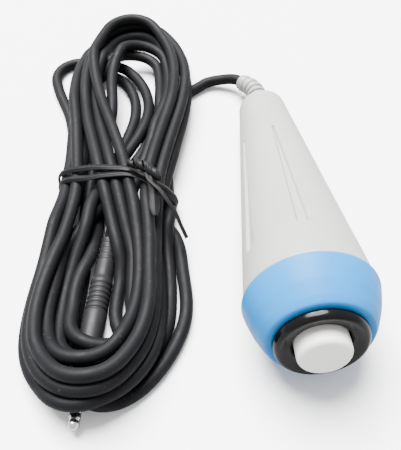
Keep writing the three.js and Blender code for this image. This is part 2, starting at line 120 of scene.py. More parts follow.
# Stations of the hank, one list for each half turn, from the lead to the plug. The first list goes
# round the near end, the second round the far end, and so on by turns. They follow the photo's strands
# where those can be told apart. Their heights and the hidden stretches are guesses. The cable is wound
# through them and then settles by its own thickness.
HALF_TURNS = [
    [(-31, 69, 2.5), (-38, 57, 2.5), (-42, 40, 2.5), (-42, 14, 2.5), (-42, -10, 2.5), (-37, -26, 2.5),
     (-36, -42, 2.5), (-42, -54, 2.5), (-52, -66, 4), (-62, -72, 7), (-68.7, -73.8, 8),
     (-73.3, -73, 8), (-77.8, -69.8, 6.3), (-82, -64, 4.2), (-85, -54, 2.5), (-84, -40, 2.5),
     (-82, -23, 2.5), (-78, 6, 2.5)],
    [(-74, 31, 2.5), (-77, 55, 2.5), (-84, 74, 2.5), (-85, 90, 2.5), (-75, 95, 2.5), (-60, 86, 2.5),
     (-52, 72, 2.5), (-51, 56, 2.5), (-56, 40, 2.5), (-62, 24, 2.5), (-66, 7, 2.5)],
    [(-67, -10, 5), (-71, -20, 6.5), (-73, -30, 7.5), (-72.8, -41, 8.3), (-70.2, -51, 9.5),
     (-64.5, -57.5, 10.5), (-58.5, -54, 9.5), (-54.8, -44, 8.8), (-53.8, -32, 8.8), (-53.3, -21, 9.5),
     (-54.5, -11, 12), (-57, 2, 15)],
    [(-59, 8, 15.5), (-61, 20, 16), (-64, 37, 13.5), (-68, 59, 11), (-67, 79, 9.5), (-62, 98, 8.5),
     (-53, 109, 8.5), (-41, 105, 8), (-36, 88, 6.5), (-39, 67, 6), (-44, 50, 6), (-48, 33, 7),
     (-56, 20, 7), (-64, 6, 7)],
    [(-67, 0, 7.5), (-72, -11, 8.2), (-77, -23, 8.4), (-81, -38, 9), (-80.5, -51, 11.5),
     (-75, -59.5, 14), (-66.5, -62, 15.3), (-59, -57, 14), (-53.5, -46, 12), (-51.5, -35, 11.5),
     (-51, -23, 11.5), (-51, -12, 13), (-53, 1, 15.5)],
    [(-54, 7, 16), (-56, 21, 16.5), (-60, 37, 16), (-65, 57, 15), (-68, 79, 14), (-66, 96, 13.5),
     (-58, 110, 13), (-45, 110, 13), (-37, 95, 13.5), (-34, 75, 14.5), (-36, 55, 15.5),
     (-41, 37, 15.5), (-45, 21, 16)],
    [(-47, 14, 15.5), (-48, 1, 14.5), (-48, -15, 14), (-47.5, -32, 14), (-48, -46, 14.5), (-52, -57.5, 16),
     (-59, -67, 18), (-67, -70.6, 19.2), (-75, -67.5, 17.5), (-81.5, -58, 15), (-84, -44, 13.3),
     (-82, -30, 12.8), (-78, -17, 12.5), (-75, -1, 12)],
    [(-73, 15, 12), (-74, 33, 12), (-75, 52, 11), (-76, 71, 11), (-72, 91, 10), (-63, 109, 8.5),
     (-49, 113, 8), (-36, 100, 8), (-29, 79, 8.5), (-30, 58, 9), (-34, 40, 9), (-39, 24, 9)],
    [(-40, 17, 8.5), (-43, -1, 7), (-44, -24, 6.5), (-44.5, -43, 7), (-48, -58, 8.5), (-57, -69, 10.5),
     (-67, -73.8, 12), (-76, -71.5, 10), (-85, -61, 6.5), (-88, -47, 4.6), (-86, -30, 4.6),
     (-81, -12, 5), (-76.5, 7, 6)],
    [(-72, 26, 5.5), (-74, 48, 5), (-74, 73, 4.5), (-67, 88, 5), (-55, 85, 6.5), (-47, 72, 6.5),
     (-45, 55, 6.5), (-48, 42, 7.5), (-55, 31, 8), (-61, 19, 8)],
    [(-66, 7, 10), (-69.5, -5, 9), (-73, -16, 7), (-76, -28, 5.5), (-77, -40, 5.5), (-75.7, -51, 7),
     (-70.5, -60, 10), (-63.3, -61.5, 10.2), (-58.6, -54, 6.5), (-61, -41, 3), (-61, -27, 3),
     (-59.5, -13, 7.5), (-61, 0, 13)],
    [(-63, 6, 15), (-65, 19, 16), (-68, 35, 14.5), (-71, 55, 12.5), (-72, 75, 11.5), (-69, 95, 10.5),
     (-59, 110, 10), (-45, 111, 10), (-34, 97, 10.5), (-29, 75, 11.5), (-32, 54, 13),
     (-37, 36, 13.5), (-41, 20, 13.5)],
    [(-43, 14, 13), (-45, -2, 11.5), (-46, -22, 10.5), (-46, -41, 10.8), (-48.5, -54, 12), (-55, -65, 13.8),
     (-63, -71.7, 15.5), (-71, -72.3, 15.5), (-79, -67, 13), (-85, -57, 10), (-86.7, -45, 9),
     (-84.5, -29, 8.8), (-81, -12, 8.8), (-77, 5, 9)],
    [(-76, 21, 8.5), (-76, 42, 8), (-75.5, 56, 7.5), (-72.5, 68, 7), (-68.3, 78, 7), (-64, 85.4, 7),
     (-59.6, 89.8, 8), (-54.3, 92.4, 8.5), (-48.5, 93, 8.5), (-43.7, 89.7, 8), (-40.7, 82.3, 7.5),
     (-39.6, 72.5, 7), (-40, 62.5, 6.5), (-41.7, 53, 6), (-43, 43, 5.5), (-41.5, 32, 5)],
    [(-40, 20, 4), (-42, 1, 3), (-42.3, -21, 2.5), (-42.5, -40, 2.8), (-45.5, -52, 4), (-52, -63, 6.5),
     (-60, -68.5, 8.2), (-68, -68.8, 8.3), (-74.5, -64, 6.5), (-75.6, -55, 4), (-73.2, -43, 2.6),
     (-71.4, -30, 2.5), (-69.5, -14, 2.5), (-70.5, 2, 3), (-72, 14, 4.5)],
    [(-70, 24, 6), (-64, 37, 9.5), (-60, 53, 11.5), (-61, 70, 12), (-59, 85, 12), (-51, 95, 12),
     (-41, 93, 10.5), (-37, 79, 9), (-39, 58, 9.5), (-44, 38, 10.5), (-49, 21, 11), (-54, 8, 8.5),
     (-58.3, 0.5, 5.2), (-60.5, -4.4, 4.1), (-61.4, -9.9, 4.0)],
]

# ---- twist tie: pairs of a place along X and the band's Y there; the lowest height of a band ----
BAND_A = [(-90, 18), (-78, 17.4), (-66.7, 14.2), (-53.8, 11.6), (-43.5, 4.8), (-36, 6.6)]
BAND_B = [(-90, 14), (-78, 13.2), (-69.4, 10.6), (-58.4, 10.0), (-53, 9.6), (-43.5, 3.2), (-36, 4.6)]
TIE_LOWEST = 0.75
BAND_STEP = 1.2
BAND_REACH = 2.6

# ---- how the hank settles ----
HANK_STEP = 2.4
SETTLE_STEPS = 300
CLOSING_STEPS = 90
PASSES = 3
# Points that stay put at the two ends of the route.
HELD_AT_START = 8
HELD_AT_PLUG = 5
# How strongly points are drawn back to where they began, and how much of that fades. Heights give way
# twice as easily.
HOLD = 0.05
HOLD_FADE = 0.7
HOLD_AXES = (1, 1, 0.5)
CLOSING_HOLD = 0.06
SINK = 0.02
ROUNDING = 0.2
CLOSING_ROUNDING = 0.25
# Turns push each other apart inside the reach. Points nearer along the cable than OWN_TURN don't.
REACH = CABLE_D + 0.1
PUSH = 1.3
CLOSING_PUSH = 1.15
SKIN = 0.05
OWN_TURN = 6
SEARCH_EVERY = 8
SEARCH_MARGIN = 4
# The waist, where the tie gathers the turns.
WAIST_Y = 12.5
WAIST_HALF = 5
WAIST_X = (-77.2, -40.2)
WAIST_Z = (CABLE_R + 1.1, 18.4)
# Spans in points, each with the bend radius that its chord is spread to.
BEND_LIMITS = ((4, 9.6), (8, 9.8))


# ---- camera ----
def add_camera():
    forward = Vector((
        math.sin(CAMERA_YAW) * math.cos(CAMERA_DOWN),
        math.cos(CAMERA_YAW) * math.cos(CAMERA_DOWN),
        -math.sin(CAMERA_DOWN),
    ))
    level = Vector((math.cos(CAMERA_YAW), -math.sin(CAMERA_YAW), 0))
    above = level.cross(forward)
    right = math.cos(CAMERA_ROLL) * level + math.sin(CAMERA_ROLL) * above
    up = -math.sin(CAMERA_ROLL) * level + math.cos(CAMERA_ROLL) * above
    turn = Matrix((right, up, -forward)).transposed().to_4x4()
    data = bpy.data.cameras.new("camera")
    data.lens = CAMERA_LENS
    data.sensor_width = 36
    data.clip_start = 0.01
    camera = bpy.data.objects.new("camera", data)
    camera.matrix_world = Matrix.Translation(CAMERA_AT) @ turn
    bpy.context.scene.collection.objects.link(camera)
    bpy.context.scene.camera = camera


add_camera()


# ---- mesh helpers ----
def link(name, mesh, body="handle"):
    piece = bpy.data.objects.new(name, mesh)
    bpy.context.scene.collection.objects.link(piece)
    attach(piece, body)
    return piece


def mesh_from(name, vertices, faces):
    mesh = bpy.data.meshes.new(name)
    mesh.from_pydata([tuple(v) for v in vertices], [], faces)
    mesh.validate()
    work = bmesh.new()
    work.from_mesh(mesh)
    bmesh.ops.recalc_face_normals(work, faces=work.faces)
    work.to_mesh(mesh)
    work.free()
    for polygon in mesh.polygons:
        polygon.use_smooth = True
    return mesh


def around_axis(place, radius, y, angle):
    """The point in metres at a radius, height and angle about the local Y axis of a place."""
    return place @ Vector((radius * math.sin(angle) * MM, y * MM, radius * math.cos(angle) * MM))


def tube_faces(rings, count, closed):
    """Quads between rings of points that follow each other. Open tubes get a face at each end."""
    faces = []
    for i in range(rings if closed else rings - 1):
        j = (i + 1) % rings
        for k in range(count):
            n = (k + 1) % count
            faces.append((i * count + k, j * count + k, j * count + n, i * count + n))
    if not closed:
        faces.append(tuple(range(count)))
        faces.append(tuple((rings - 1) * count + k for k in range(count)))
    return faces


HANDLE = Matrix.Translation((0, RING_Y * MM, COLLAR_R * math.cos(TILT) * MM)) @ Matrix.Rotation(-TILT, 4, "X")
PLUG = Matrix.Translation(Vector(PIN_TIP) * MM) @ Matrix.Rotation(-math.radians(PLUG_SLANT), 4, "Z")


def rounded(profile, radius, steps=4):
    """The closed profile of (r, y) points with each corner turned into a small arc."""
    out = []
    count = len(profile)
    for i in range(count):
        before = np.array(profile[i - 1], float)
        here = np.array(profile[i], float)
        after = np.array(profile[(i + 1) % count], float)
        into = before - here
        away = after - here
        cut = min(radius, 0.45 * np.linalg.norm(into), 0.45 * np.linalg.norm(away))
        if here[0] < 1e-6 or cut < 1e-4:
            out.append(tuple(here))
            continue
        start = here + into / np.linalg.norm(into) * cut
        stop = here + away / np.linalg.norm(away) * cut
        for k in range(steps + 1):
            t = k / steps
            point = (1 - t) ** 2 * start + 2 * t * (1 - t) * here + t ** 2 * stop
            out.append((point[0], point[1]))
    return out


def lathe(name, profile, place, body="handle", segments=128, closed=True, shape=None):
    """A turned piece about local Y. The profile's (r, y) points are in millimetres; a point on the axis
    becomes one vertex. shape(r, y, angle) may change the radius."""
    vertices = []
    rings = []
    for r, y in profile:
        if r < 1e-6:
            rings.append([len(vertices)])
            vertices.append(place @ Vector((0, y * MM, 0)))
            continue
        ring = []
        for k in range(segments):
            angle = 2 * math.pi * k / segments
            radius = shape(r, y, angle) if shape else r
            ring.append(len(vertices))
            vertices.append(around_axis(place, radius, y, angle))
        rings.append(ring)
    faces = []
    pairs = list(zip(rings, rings[1:]))
    if closed:
        pairs.append((rings[-1], rings[0]))
    for a, b in pairs:
        for k in range(segments):
            n = (k + 1) % segments
            if len(a) == 1 and len(b) == 1:
                break
            if len(a) == 1:
                faces.append((a[0], b[k], b[n]))
            elif len(b) == 1:
                faces.append((a[k], b[0], a[n]))
            else:
                faces.append((a[k], b[k], b[n], a[n]))
    return link(name, mesh_from(name, vertices, faces), body)


def catmull(points, per_span=12):
    """A smooth line through the points."""
    p = np.asarray(points, float)
    p = np.vstack([2 * p[0] - p[1], p, 2 * p[-1] - p[-2]])
    t = np.linspace(0, 1, per_span, endpoint=False)[:, None]
    out = []
    for i in range(1, len(p) - 2):
        a, b, c, d = p[i - 1], p[i], p[i + 1], p[i + 2]
        out.append(0.5 * (2 * b + (c - a) * t + (2 * a - 5 * b + 4 * c - d) * t ** 2
                          + (3 * b - a - 3 * c + d) * t ** 3))
    return np.vstack(out + [p[-2:-1]])


def evenly(line, step):
    """The line's points spaced evenly, about step apart, and the true spacing."""
    along = np.r_[0, np.cumsum(np.linalg.norm(np.diff(line, axis=0), axis=1))]
    count = max(2, int(round(along[-1] / step)))
    at = np.linspace(0, along[-1], count + 1)
    return np.stack([np.interp(at, along, line[:, k]) for k in range(3)], 1), along[-1] / count


def frames_along(line):
    """Side and up vectors along a line, carried without twist."""
    tangent = np.gradient(line, axis=0)
    tangent /= np.linalg.norm(tangent, axis=1)[:, None]
    side = np.cross(tangent[0], [0, 0, 1.0])
    side /= np.linalg.norm(side)
    sides = []
    for t in tangent:
        side = side - t * (side @ t)
        side /= np.linalg.norm(side)
        sides.append(side.copy())
    sides = np.array(sides)
    return sides, np.cross(tangent, sides)


# ---- the cable's route ----
def hold_off(points, start, end, distance):
    """The points pushed out to a distance from the straight line between start and end."""
    axis = end - start
    t = np.clip((points - start) @ axis / (axis @ axis), 0, 1)
    away = points - (start + t[:, None] * axis)
    length = np.linalg.norm(away, axis=1) + 1e-9
    push = np.clip(distance - length, 0, None)
    return points + away / length[:, None] * push[:, None]


def push_apart(points, free, near, strength):
    """Pairs of points on different turns moved apart where they are closer than the cable's reach."""
    first, second = near
    between = points[second] - points[first]
    length = np.linalg.norm(between, axis=1) + 1e-9
    close = length < REACH
    moved = np.zeros_like(points)
    hits = np.zeros(len(points))
    if close.any():
        push = between[close] / length[close, None] * ((REACH - length[close]) * 0.5)[:, None]
        np.add.at(moved, first[close], -push)
        np.add.at(moved, second[close], push)
        np.add.at(hits, first[close], 1)
        np.add.at(hits, second[close], 1)
    return points + free[:, None] * moved / np.maximum(hits, 1)[:, None] * strength


def limit_bend(points, free, spacing):
    """Points a few steps apart spread where the cable between them bends tighter than it can."""
    for reach, radius in BEND_LIMITS:
        chord = 2 * radius * math.sin(reach * spacing / (2 * radius))
        along = points[reach:] - points[:-reach]
        length = np.linalg.norm(along, axis=1) + 1e-9
        push = along / length[:, None] * (np.clip(chord - length, 0, None) * 0.25)[:, None]
        points[reach:] += push * free[reach:, None]
        points[:-reach] -= push * free[:-reach, None]


def keep_length(points, free, spacing):
    """Neighbouring points drawn back to their spacing."""
    index = np.arange(len(points))
    for parity in (0, 1):
        a = index[parity:-1:2]
        b = a + 1
        along = points[b] - points[a]
        length = np.linalg.norm(along, axis=1) + 1e-9
        share = free[a] + free[b]
        share[share == 0] = 1
        move = along / length[:, None] * ((length - spacing) / share)[:, None]
        points[a] += move * free[a][:, None]
        points[b] -= move * free[b][:, None]


def round_off(points, free, share):
    """Points drawn a share of the way to the middle of their neighbours, in place."""
    middle = 0.5 * (points[:-2] + points[2:])
    points[1:-1] += share * (middle - points[1:-1]) * free[1:-1, None]


def keep_clear(points, free, obstacles):
    """The free points pushed off the plug."""
    for start, end, distance in obstacles:
        points = np.where(free[:, None] > 0, hold_off(points, start, end, distance), points)
    return points


def keep_above(points, free):
    """The free points lifted until the cable lies on the table, in place."""
    lifted = np.maximum(points[:, 2], CABLE_R + SKIN)
    points[:, 2] = np.where(free > 0, lifted, points[:, 2])


def gather_waist(points, free):
    """The free points near the tie kept inside it, in place."""
    waist = (np.abs(points[:, 1] - WAIST_Y) < WAIST_HALF) & (free > 0)
    points[waist, 0] = np.clip(points[waist, 0], *WAIST_X)
    points[waist, 2] = np.clip(points[waist, 2], *WAIST_Z)


def settle(points, spacing, obstacles):
    """The wound cable after it has settled. Turns are pushed about a diameter apart, off the table and
    off the plug, gathered at the waist, and every step keeps about its length. The closing steps smooth
    it once more and clear what still presses together."""
    start = points.copy()
    free = np.ones(len(points))
    free[:HELD_AT_START] = 0
    free[-HELD_AT_PLUG:] = 0
    near = None
    for step in range(SETTLE_STEPS):
        hold = HOLD * (1 - HOLD_FADE * step / SETTLE_STEPS)
        points += (free * hold)[:, None] * (start - points) * np.array(HOLD_AXES)
        points[:, 2] -= free * SINK
        if step % SEARCH_EVERY == 0:
            apart = ((points[:, None, :] - points[None, :, :]) ** 2).sum(-1)
            near = np.nonzero(np.triu(apart < (REACH + SEARCH_MARGIN) ** 2, OWN_TURN))
        for _ in range(PASSES):
            keep_length(points, free, spacing)
            points = push_apart(points, free, near, PUSH)
            points = keep_clear(points, free, obstacles)
            gather_waist(points, free)
            keep_above(points, free)
            limit_bend(points, free, spacing)
        round_off(points, free, ROUNDING)
    gathered = points.copy()
    for _ in range(CLOSING_STEPS):
        points += (free * CLOSING_HOLD)[:, None] * (gathered - points)
        round_off(points, free, CLOSING_ROUNDING)
        for _ in range(PASSES):
            keep_length(points, free, spacing)
            limit_bend(points, free, spacing)
            points = push_apart(points, free, near, CLOSING_PUSH)
        points = keep_clear(points, free, obstacles)
        keep_above(points, free)
    return points


def cable_route():
    """The settled route, past a plug given as straight lines and the distance to keep from each."""
    stations = list(LEAD_POINTS)
    for half in HALF_TURNS:
        stations += half
    line, spacing = evenly(catmull(stations), HANK_STEP)
    slant = math.radians(PLUG_SLANT)
    tip = np.array(PIN_TIP)
    axis = np.array([math.sin(slant), math.cos(slant), 0])
    obstacles = [
        (tip, tip + axis * PIN_L, PIN_R + CABLE_R + SKIN),
        (tip + axis * PIN_L, tip + axis * PLUG_BODY_END, PLUG_R + CABLE_R + SKIN),
        (tip + axis * PLUG_BODY_END, tip + axis * PLUG_TAPER_END, PLUG_NECK_R + CABLE_R + 0.3),
        (tip + axis * PLUG_TAPER_END, tip + axis * PLUG_END, PLUG_NECK_R + CABLE_R + SKIN),
    ]
    return settle(line, spacing, obstacles)


route = cable_route()


def add_cable():
    """The cable's jacket: rings of points round a fine version of the route."""
    line, _ = evenly(catmull(route, 3), CABLE_STEP)
    sides, ups = frames_along(line)
    vertices = []
    for at, side, up in zip(line, sides, ups):
        for k in range(CABLE_SIDES):
            a = 2 * math.pi * k / CABLE_SIDES
            vertices.append(tuple((at + (side * math.cos(a) + up * math.sin(a)) * CABLE_R) * MM))
    faces = tube_faces(len(line), CABLE_SIDES, closed=False)
    piece = link("cable", mesh_from("cable", vertices, faces))
    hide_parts("cord_lead", "cord_hank", "cord_tail")
    return piece, line


cable, cable_line = add_cable()


# ---- handle shell with its grip flutes ----
def shell_r(y):
    """The shell's radius at a height along the handle."""
    return SHELL_R - SLOPE * y


def ease(t):
    """A smooth step from 0 to 1."""
    t = min(max(t, 0.0), 1.0)
    return t * t * (3 - 2 * t)


def flute_cut(y, across):
    """How deep the flute is at a distance across from its middle line."""
    if y < FLUTE_LOW - 0.5 or y > FLUTE_HIGH + 0.5:
        return 0.0
    t = min(max((y - FLUTE_LOW - FLUTE_HALF_LOW) / (FLUTE_HIGH - FLUTE_LOW - FLUTE_HALF_LOW), 0), 1)
    half = FLUTE_HALF_LOW + (FLUTE_HALF_HIGH - FLUTE_HALF_LOW) * t
    inside = half - abs(across)
    if y < FLUTE_LOW + FLUTE_HALF_LOW:
        inside = FLUTE_HALF_LOW - math.hypot(across, FLUTE_LOW + FLUTE_HALF_LOW - y)
    if y > FLUTE_HIGH - FLUTE_HALF_HIGH:
        inside = FLUTE_HALF_HIGH - math.hypot(across, y - FLUTE_HIGH + FLUTE_HALF_HIGH)
    return FLUTE_DEPTH * ease((inside + 0.1) / FLUTE_WALL)


def shell_angles():
    """Angles round the shell, close together at the flutes."""
    sector = 2 * math.pi / FLUTES
    fine = [k * 0.15 / SHELL_R for k in range(-15, 16)]
    edge = fine[-1]
    coarse = [edge + (sector - 2 * edge) * k / 13 for k in range(1, 13)]
    angles = []
    for i in range(FLUTES):
        middle = math.radians(FLUTE_TURN) + i * sector
        angles += [middle + a for a in fine + coarse]
    return angles, sector


def shell_levels():
    """Heights along the shell, close together at the ends of the flutes."""
    levels = []
    y = 1.2
    while y < SHELL_END:
        levels.append(y)
        near_end = FLUTE_LOW - 1 < y < FLUTE_LOW + 2.5 or FLUTE_HIGH - 2 < y < FLUTE_HIGH + 1
        y += 0.22 if near_end else 1.1
    return levels


def add_shell():
    angles, sector = shell_angles()
    outer = [(SPIGOT_R, 0.9), (shell_r(0.9) - 0.35, 0.9), (shell_r(1.0) - 0.1, 1.0)]
    outer += [(shell_r(y), y) for y in shell_levels()]
    for i in range(13):
        a = i / 12 * math.pi / 2
        r = TAIL_R + (SHELL_END_R - TAIL_R) * math.cos(a)
        outer.append((r, SHELL_END + (TAIL_Y - SHELL_END) * math.sin(a)))
    inner = [
        (TAIL_BORE_R + 0.3, TAIL_Y), (TAIL_BORE_R, TAIL_Y - 0.3), (TAIL_BORE_R, 99),
        (shell_r(96) - 2.4, 96), (shell_r(8) - 2.4, 8), (SPIGOT_R - 1.8, 3), (SPIGOT_R - 1.8, -6),
        (BARREL_R + 0.3, -6), (BARREL_R + 0.3, -8.6), (SPIGOT_R, -8.6),
    ]
    profile = outer + inner
    vertices = []
    for r, y in profile:
        for angle in angles:
            radius = r
            if 1.2 <= y < SHELL_END and r > shell_r(y) - 0.01:
                turned = (angle - math.radians(FLUTE_TURN) + sector / 2) % sector - sector / 2
                radius = r - flute_cut(y, turned * r)
            vertices.append(around_axis(HANDLE, radius, y, angle))
    faces = tube_faces(len(profile), len(angles), closed=True)
    piece = link("shell_skin", mesh_from("shell_skin", vertices, faces))
    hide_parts("handle_shell")
    return piece


shell = add_shell()


# ---- collar, bezel and button ----
def add_collar():
    profile = [
        (BARREL_R + 0.3, COLLAR_FRONT), (15.2, COLLAR_FRONT), (15.9, -13.9), (16.45, -13.2), (17.2, -11.9),
        (18.1, -9.8), (19.1, -7.4), (20.0, -4.4), (20.55, -2.2), (21.0, -0.2), (20.95, 0.3),
        (20.5, 0.6), (17.3, 0.6), (17.3, -8.9), (BARREL_R + 0.3, -8.9),
    ]
    piece = lathe("collar_skin", rounded(profile, 0.5), HANDLE, segments=160)
    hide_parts("collar")
    return piece


def add_bezel():
    rim = 1.5
    middle = BEZEL_R - rim
    top = BEZEL_BASE - 2.75
    lip_r = BEZEL_IN_R - 0.4
    lip = BEZEL_BASE - 1.35
    edge = BEZEL_BASE - 0.35
    profile = [(BEZEL_IN_R - 0.5, BEZEL_BASE - 0.9), (lip_r, lip)]
    for i in range(1, 9):
        t = i / 8
        profile.append((lip_r + (middle - lip_r) * t, lip + (top - lip) * (0.45 * t + 0.55 * ease(t))))
    for i in range(1, 13):
        a = i / 12 * math.pi / 2
        profile.append((middle + rim * math.sin(a), edge + (top - edge) * math.cos(a)))
    profile += [
        (BEZEL_R, BEZEL_BASE), (13.6, BEZEL_BASE), (13.6, BEZEL_BASE - 1.0), (11.4, BEZEL_BASE - 1.0),
        (11.4, BEZEL_BASE), (BARREL_R, BEZEL_BASE), (BARREL_R, 12), (9.0, 12), (9.0, 4), (3.3, 4),
        (3.3, 2), (8.5, 2), (8.5, BEZEL_BASE - 0.4), (BEZEL_IN_R - 0.5, BEZEL_BASE - 0.4),
    ]
    piece = lathe("switch_skin", profile, HANDLE, segments=128)
    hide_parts("switch_body")
    return piece


def add_button():
    face_r = 6.3
    crown = 0.28
    edge = 1.75
    profile = [(0, BUTTON_FRONT)]
    for i in range(1, 9):
        r = face_r * i / 8
        profile.append((r, BUTTON_FRONT + crown * (r / face_r) ** 2))
    for i in range(1, 11):
        a = i / 10 * math.pi / 2
        r = face_r + (BUTTON_R - face_r) * math.sin(a)
        profile.append((r, BUTTON_FRONT + crown + edge * (1 - math.cos(a))))
    profile += [
        (BUTTON_R, -15), (BUTTON_R, -9), (BUTTON_R, -2.6), (BUTTON_R - 0.2, -2.4), (6.3, -2.4),
        (6.3, -15.9), (3.1, -15.9), (3.1, -17.9), (0, -17.9),
    ]
    piece = lathe("button_skin", profile, HANDLE, body="button", segments=96, closed=False)
    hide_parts("button_cap")
    return piece


collar = add_collar()
bezel = add_bezel()
button = add_button()


# ---- strain relief ----
def circle(radius, count=48):
    return [(radius * math.cos(2 * math.pi * k / count), radius * math.sin(2 * math.pi * k / count))
            for k in range(count)]


def relief_radius(t):
    """Radius of the ribbed sleeve at a share t of its length."""
    if t < RELIEF_BASE:
        return RELIEF_BASE_R
    place = (t - RELIEF_BASE) / (1 - RELIEF_BASE) * RELIEF_RIBS
    rib = int(min(place, RELIEF_RIBS - 1))
    within = place - rib
    top = RELIEF_RIB_R - RELIEF_TAPER * rib
    rise = ease(within / 0.14) * (1 - ease((within - 0.58) / 0.14))
    return RELIEF_GROOVE_R + (top - RELIEF_GROOVE_R) * rise


def add_relief():
    """The ribbed sleeve. Its outer skin and its bore are joined at both ends."""
    line, _ = evenly(catmull(RELIEF_POINTS, 40), RELIEF_STEP)
    line = line[:-1]
    sides, ups = frames_along(line)
    outer = [circle(relief_radius(i / (len(line) - 1))) for i in range(len(line))]
    bore = [circle(CABLE_R + 0.15) for _ in line]
    there_and_back = list(zip(line, sides, ups, outer)) + list(zip(line, sides, ups, bore))[::-1]
    vertices = []
    for at, side, up, section in there_and_back:
        for u, v in section:
            vertices.append(tuple((at + side * u + up * v) * MM))
    faces = tube_faces(len(there_and_back), len(outer[0]), closed=True)
    piece = link("relief_skin", mesh_from("relief_skin", vertices, faces))
    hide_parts("strain_relief")
    return piece


relief = add_relief()


# ---- plug and pin ----
def plug_profile():
    """The plug's body from its shoulder at the pin, over the grip rings, to the grooved neck."""
    profile = [(0, PIN_L), (PLUG_R - 0.4, PIN_L), (PLUG_R - 0.12, PIN_L + 0.12), (PLUG_R, PIN_L + 0.4)]
    y = PIN_L + GRIP_FROM_PIN
    profile.append((PLUG_R, y))
    for _ in range(GRIP_RINGS):
        for share, depth in ((0.25, 0), (0.4, 0.28), (0.5, 0.42), (0.62, 0.42), (0.74, 0.28), (0.9, 0)):
            profile.append((PLUG_R - depth, y + share * GRIP_PITCH))
        y += GRIP_PITCH
    shoulder = PLUG_R - 0.5
    profile += [
        (PLUG_R, PLUG_BODY_END - 1.4), (PLUG_R - 0.12, PLUG_BODY_END - 0.5), (shoulder, PLUG_BODY_END),
    ]
    for i in range(1, 7):
        t = i / 6
        y = PLUG_BODY_END + (PLUG_TAPER_END - PLUG_BODY_END) * t
        profile.append((shoulder + (PLUG_NECK_R - shoulder) * ease(t), y))
    for i in range(NECK_GROOVES):
        for share, depth in ((0.15, 0), (0.35, 0.35), (0.7, 0.35), (0.9, 0)):
            profile.append((PLUG_NECK_R - depth, PLUG_TAPER_END + (i + share) * NECK_PITCH))
    profile += [(PLUG_NECK_R - 0.1, PLUG_END - 0.2), (PLUG_NECK_R - 0.4, PLUG_END), (0, PLUG_END)]
    return profile


def add_plug():
    body = lathe("plug_skin", plug_profile(), PLUG, segments=72, closed=False)
    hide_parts("plug_body")
    sleeve = lathe("pin_sleeve", [
        (0, 5.2), (PIN_R - 0.06, 5.2), (PIN_R, 5.28), (PIN_R, 8), (PIN_R, 12.6), (PIN_R + 0.05, 12.9),
        (2.35, 13.1), (2.35, 13.9), (0, 13.9),
    ], PLUG, segments=64, closed=False)
    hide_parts("plug_sleeve")
    ring = lathe("pin_insulator", [
        (0, 4.95), (PIN_R - 0.08, 4.95), (PIN_R - 0.08, 5.15), (0, 5.15),
    ], PLUG, segments=48, closed=False)
    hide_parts("plug_insulator")
    tip = lathe("pin_tip", [
        (0, 0), (0.7, 0.03), (0.95, 0.15), (1.3, 0.65), (1.62, 1.25), (PIN_R, 1.6), (PIN_R, 2.1),
        (1.66, 2.5), (1.62, 2.8), (1.66, 3.1), (PIN_R, 3.5), (PIN_R, 4.82), (PIN_R - 0.06, 4.9), (0, 4.9),
    ], PLUG, segments=64, closed=False)
    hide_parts("plug_tip")
    return [body, sleeve, ring, tip]


plug_pieces = add_plug()


# ---- twist tie ----
def hull_of(points):
    """The convex hull of points in a plane, anticlockwise."""
    points = sorted(map(tuple, points))

    def half(items):
        chain = []
        for p in items:
            while len(chain) > 1:
                (ax, ay), (bx, by) = chain[-2], chain[-1]
                if (bx - ax) * (p[1] - ay) - (by - ay) * (p[0] - ax) > 0:
                    break
                chain.pop()
            chain.append(p)
        return chain[:-1]

    return np.array(half(points) + half(points[::-1]))


def tie_loop(askew, gap):
    """Where a taut band lies round the waist, at a distance gap outside the cable's surface. The band
    runs askew: askew pairs places along X with the band's Y there."""
    places, heights = zip(*askew)
    cloud = []
    for x, y, z in route:
        if abs(y - np.interp(x, places, heights)) < BAND_REACH:
            for k in range(24):
                a = 2 * math.pi * k / 24
                cloud.append((x + (CABLE_R + gap) * math.cos(a), z + (CABLE_R + gap) * math.sin(a)))
    ring = hull_of(cloud)
    ring = np.vstack([ring, ring[:1]])
    line, _ = evenly(np.stack([ring[:, 0], np.zeros(len(ring)), ring[:, 1]], 1), BAND_STEP)
    line[:, 1] = np.interp(line[:, 0], places, heights)
    line[:, 2] = np.maximum(line[:, 2], TIE_LOWEST)
    return line[:-1]


def tie_section(width, thick, wire=0.32):
    """Flat strip with a wire down its middle. Offsets are (across, out)."""
    half = width / 2
    top = [(-half, 0), (-half + 0.12, thick / 2), (-0.45, thick / 2), (-0.22, thick / 2 + wire * 0.7),
           (0, thick / 2 + wire), (0.22, thick / 2 + wire * 0.7), (0.45, thick / 2),
           (half - 0.12, thick / 2), (half, 0)]
    return top + [(u, -v) for u, v in top[-2:0:-1]]


def strip(name, line, out, width, thick=0.42, closed=False, scale=None):
    """A strip along a line, lying square to the out vectors. scale narrows it point by point."""
    line = np.asarray(line, float)
    out = np.asarray(out, float)
    if closed:
        tangent = np.roll(line, -1, 0) - np.roll(line, 1, 0)
    else:
        tangent = np.gradient(line, axis=0)
    tangent /= np.linalg.norm(tangent, axis=1)[:, None]
    out = out - tangent * (out * tangent).sum(1)[:, None]
    out /= np.linalg.norm(out, axis=1)[:, None]
    across = np.cross(tangent, out)
    section = tie_section(width, thick)
    vertices = []
    for i, (at, side, up) in enumerate(zip(line, across, out)):
        share = scale[i] if scale else 1.0
        for u, v in section:
            vertices.append(tuple((at + side * u * share + up * v) * MM))
    faces = tube_faces(len(line), len(section), closed)
    piece = link(name, mesh_from(name, vertices, faces))
    return piece


def band(name, askew, gap):
    """A closed band round the waist, its corners eased."""
    line = tie_loop(askew, gap)
    for _ in range(4):
        line = 0.5 * line + 0.25 * (np.roll(line, 1, 0) + np.roll(line, -1, 0))
    middle = line.mean(0)
    out = line - middle
    out[:, 1] = 0
    return strip(name, line, out, width=2.5, closed=True)


